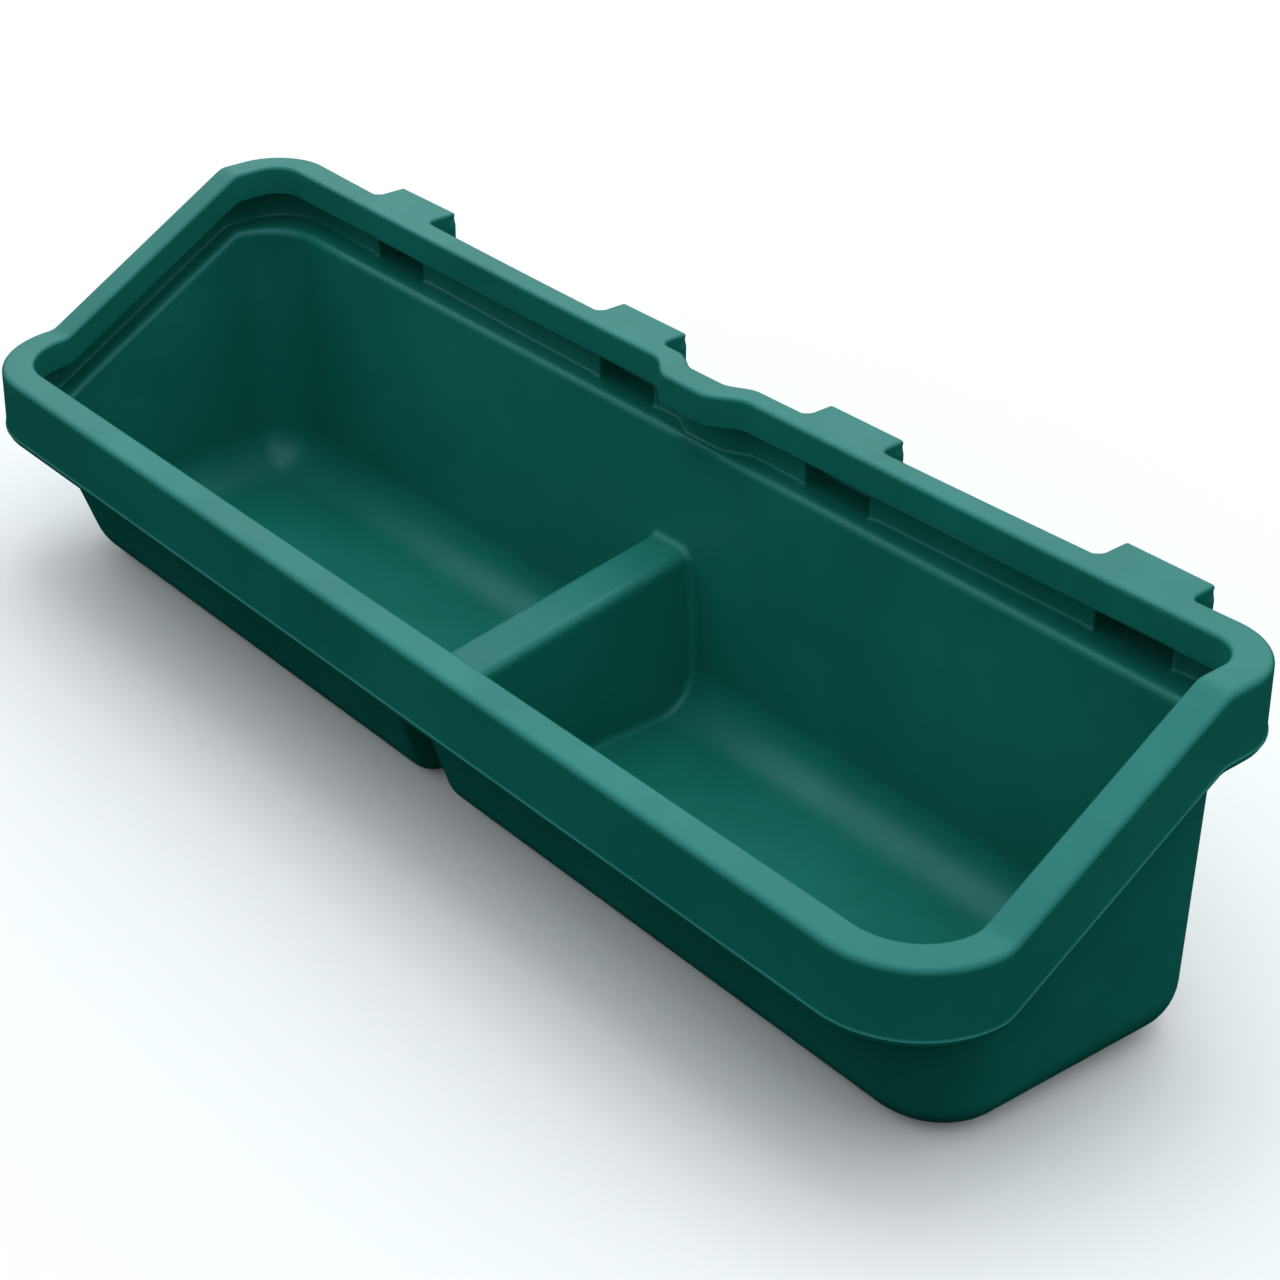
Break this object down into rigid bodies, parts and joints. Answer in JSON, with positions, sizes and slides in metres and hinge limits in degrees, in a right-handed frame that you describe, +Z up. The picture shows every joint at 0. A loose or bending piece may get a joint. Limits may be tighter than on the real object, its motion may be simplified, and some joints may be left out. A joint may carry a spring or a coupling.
{
  "type": "trough feeder",
  "caption": "Long plastic feed trough with a divided tub, a broad rolled rim that is higher at the back, and moulded hooks to hang it on a gate or hurdle.",
  "frame": {"origin": "middle of the base, on the floor that the trough stands on, under the middle of its bounding box", "axes": "+X along the trough to the right as seen from the front, +Y to the back and the rail it hangs on, +Z up"},
  "size_m": [1.205, 0.3824, 0.311],
  "materials": {
    "moulding": "rotationally moulded polyethylene, satin on the inside, mould-matte on the outside"
  },
  "bodies": {
    "root": {"left_bay": "moulding", "right_bay": "moulding", "divider": "moulding", "front_rail": "moulding", "front_left_corner": "moulding", "front_right_corner": "moulding", "left_end_rail": "moulding", "right_end_rail": "moulding", "back_left_corner": "moulding", "back_right_corner": "moulding", "back_rail_1": "moulding", "back_rail_2": "moulding", "back_rail_3": "moulding", "back_rail_4": "moulding", "back_rail_5": "moulding", "hook_1": "moulding", "hook_2": "moulding", "hook_3": "moulding", "hook_4": "moulding"}
  },
  "joints": []
}
